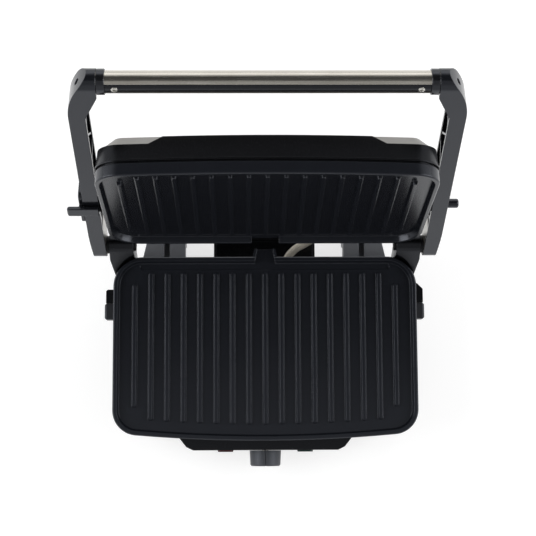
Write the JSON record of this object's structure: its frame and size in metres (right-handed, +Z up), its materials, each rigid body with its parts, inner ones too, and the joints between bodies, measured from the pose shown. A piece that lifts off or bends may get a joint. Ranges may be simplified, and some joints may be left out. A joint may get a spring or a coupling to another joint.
{
  "type": "panini press",
  "caption": "Contact grill standing open: ribbed lower plate in a moulded base, ribbed floating lid carried by two arms with a tubular handle, front knob, lamps and rear drip tray.",
  "frame": {"origin": "on the table, under the middle of the open press's box", "axes": "+X to the right seen from the front, +Y to the back, +Z up"},
  "size_m": [0.3561, 0.3235, 0.2939],
  "materials": {
    "housing_black": "moulded heat-resistant plastic, fine satin grain",
    "plate_coating": "cast, black non-stick coating",
    "arm_grey": "dark grey satin",
    "control_grey": "dark grey, matt",
    "steel": "brushed",
    "bright_steel": "plain",
    "reflector_sheet": "rolled sheet",
    "lamp_red": "dark red, clear",
    "lamp_green": "dark green, clear",
    "rubber_black": "matt",
    "sleeve_braid": "woven glass-fibre braid"
  },
  "bodies": {
    "base": {"base_housing": "housing_black", "bottom_cover": "housing_black", "hinge_bracket_left": "housing_black", "hinge_bracket_right": "housing_black", "lamp_holders": "housing_black", "thermostat": "housing_black", "terminal_block": "housing_black", "lower_grill_plate": "plate_coating", "rear_leg_left": "arm_grey", "rear_leg_right": "arm_grey", "hinge_pin_left": "bright_steel", "hinge_pin_right": "bright_steel", "hinge_washers": "bright_steel", "button_spring_left": "bright_steel", "button_spring_right": "bright_steel", "bottom_screws": "bright_steel", "lower_heating_element": "bright_steel", "lower_reflector": "reflector_sheet", "red_lamp": "lamp_red", "green_lamp": "lamp_green", "rubber_feet": "rubber_black", "cord_gland": "rubber_black", "base_grommet": "rubber_black", "link_sleeve": "sleeve_braid"},
    "arms": {"arm_left": "arm_grey", "arm_right": "arm_grey", "handle_core": "housing_black", "handle_cover": "steel", "handle_collars": "housing_black", "handle_strip_screws": "bright_steel", "arm_end_screws": "bright_steel", "hinge_sheet_left": "steel", "hinge_sheet_right": "steel"},
    "lid": {"lid_housing": "housing_black", "lid_top_cover": "steel", "upper_grill_plate": "plate_coating", "upper_heating_element": "bright_steel", "upper_reflector": "reflector_sheet", "lid_guide_left": "arm_grey", "lid_guide_right": "arm_grey"},
    "knob": {"thermostat_knob": "control_grey", "thermostat_shaft": "bright_steel"},
    "button_left": {"release_button_left": "control_grey"},
    "button_right": {"release_button_right": "control_grey"},
    "lock_slider": {"hinge_lock_slider": "arm_grey"},
    "tray": {"drip_tray": "housing_black"}
  },
  "joints": [
    {"name": "arm_hinge", "type": "hinge", "parent": "base", "child": "arms", "pos_m": [0, 0.047, 0.078], "axis": [-1, 0, 0], "range_deg": [-101, 79], "deforming": ["link_sleeve"]},
    {"name": "lid_float", "type": "slide", "parent": "arms", "child": "lid", "axis": [0, 0.9816, -0.1908], "range_m": [-0.006, 0], "deforming": ["link_sleeve"]},
    {"name": "knob_turn", "type": "hinge", "parent": "base", "child": "knob", "pos_m": [0, -0.1475, 0.033], "axis": [0, -1, 0], "range_deg": [-135, 135]},
    {"name": "button_left_press", "type": "slide", "parent": "base", "child": "button_left", "axis": [1, 0, 0], "range_m": [0, 0.003], "stiffness_N_per_m": 400, "deforming": ["button_spring_left"]},
    {"name": "button_right_press", "type": "slide", "parent": "base", "child": "button_right", "axis": [-1, 0, 0], "range_m": [0, 0.003], "stiffness_N_per_m": 400, "deforming": ["button_spring_right"]},
    {"name": "hinge_lock_slide", "type": "slide", "parent": "arms", "child": "lock_slider", "axis": [0, 0.4478, 0.8942], "range_m": [0, 0.01]},
    {"name": "tray_slide", "type": "slide", "parent": "base", "child": "tray", "axis": [0, 1, 0], "range_m": [0, 0.06]}
  ]
}
